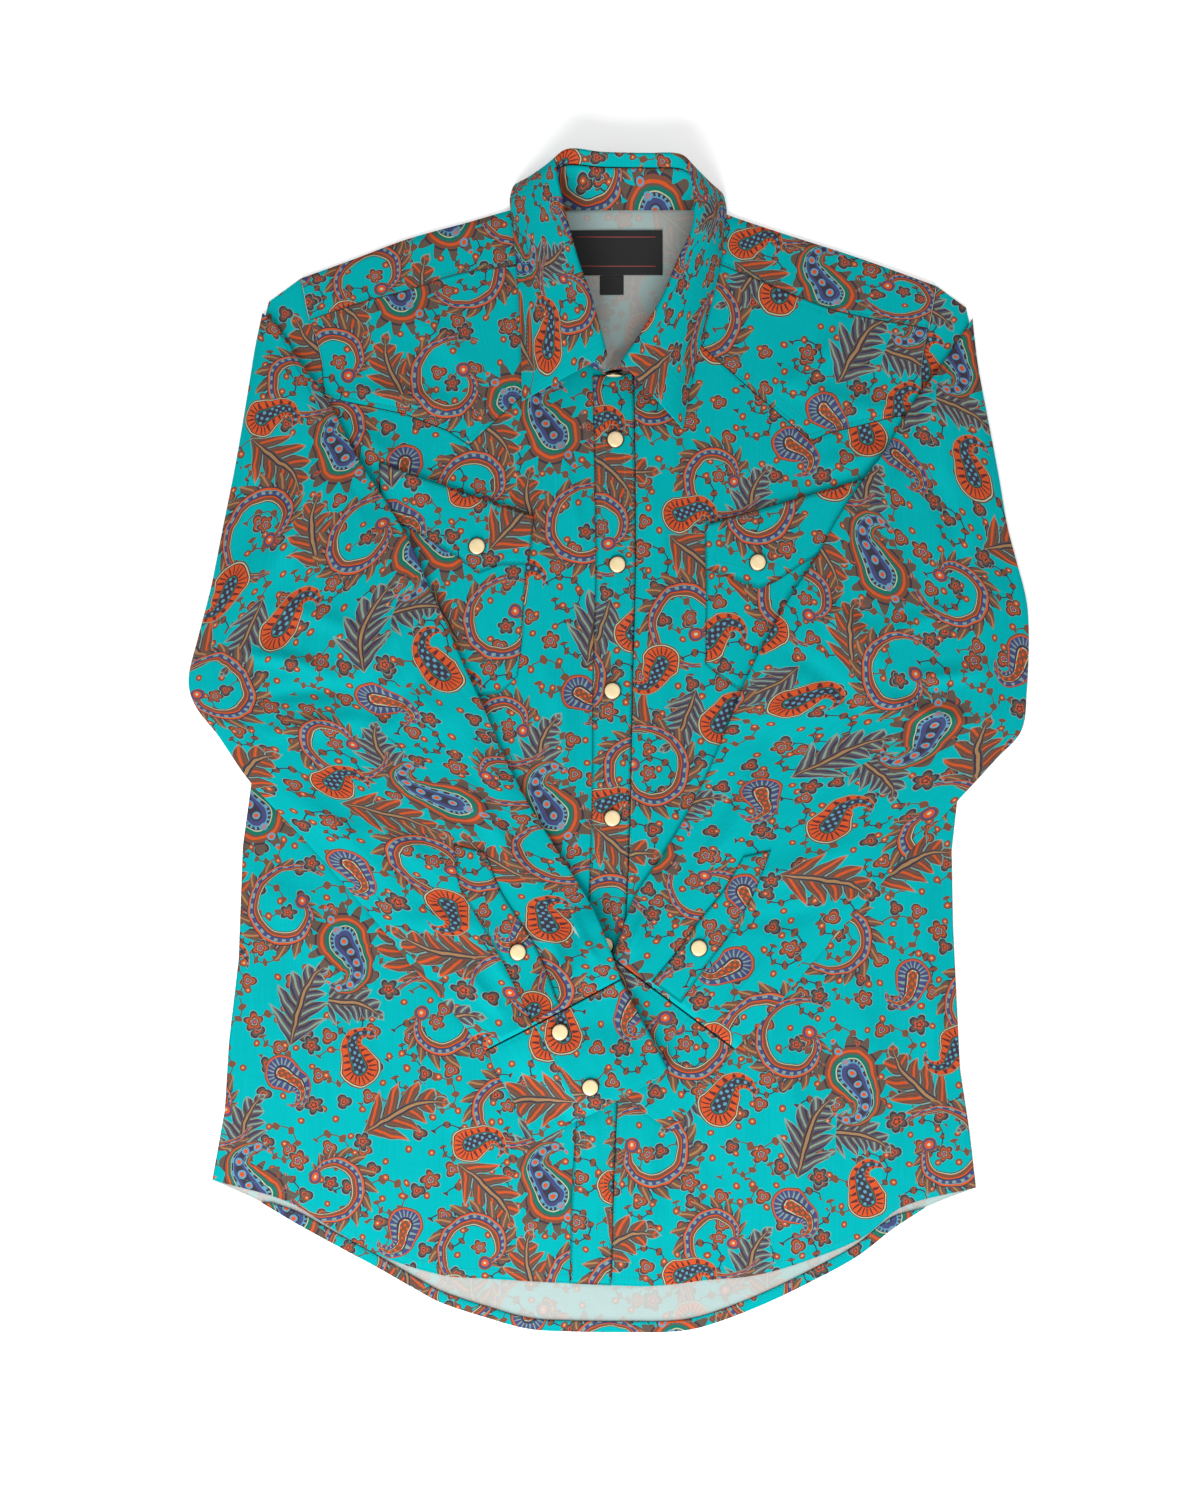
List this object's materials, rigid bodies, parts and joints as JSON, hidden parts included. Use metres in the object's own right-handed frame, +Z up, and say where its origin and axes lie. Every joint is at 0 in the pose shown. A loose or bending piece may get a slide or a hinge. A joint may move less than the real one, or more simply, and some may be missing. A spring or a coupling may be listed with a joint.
{
  "type": "western snap shirt",
  "caption": "Long-sleeved western shirt with pointed yokes, snap flap pockets and snap cuffs, laid face up with both sleeves folded across the front.",
  "frame": {"origin": "on the surface the shirt lies on, under the middle of its bounding box", "axes": "+Y from the hem to the collar, +Z up off the surface, +X towards the wearer's left"},
  "size_m": [0.6045, 0.8457, 0.0283],
  "materials": {
    "cloth": "printed cotton, right side",
    "cloth_wrong_side": "printed cotton, wrong side",
    "label_cloth": "black woven label",
    "snap": "pearl cap in a thin metal rim"
  },
  "bodies": {
    "root": {"back": "cloth_wrong_side", "back_hem": "cloth", "back_yoke": "cloth_wrong_side", "front_right": "cloth", "front_left": "cloth", "placket": "cloth", "front_yoke_right": "cloth", "front_yoke_left": "cloth", "pocket_right": "cloth", "pocket_left": "cloth", "flap_right": "cloth", "flap_left": "cloth", "sleeve_left": "cloth", "sleeve_right": "cloth", "cuff_left": "cloth", "cuff_right": "cloth", "gauntlet_right": "cloth", "gauntlet_left": "cloth", "collar_stand": "cloth", "collar_leaf": "cloth", "neck_label": "label_cloth", "size_tab": "label_cloth", "snap_placket_1": "snap", "snap_placket_2": "snap", "snap_placket_3": "snap", "snap_placket_4": "snap", "snap_placket_5": "snap", "snap_placket_6": "snap", "snap_flap_right": "snap", "snap_flap_left": "snap", "snap_gauntlet_right": "snap", "snap_gauntlet_left": "snap", "snap_cuff_right_1": "snap", "snap_cuff_right_2": "snap", "snap_collar": "snap"}
  },
  "joints": []
}
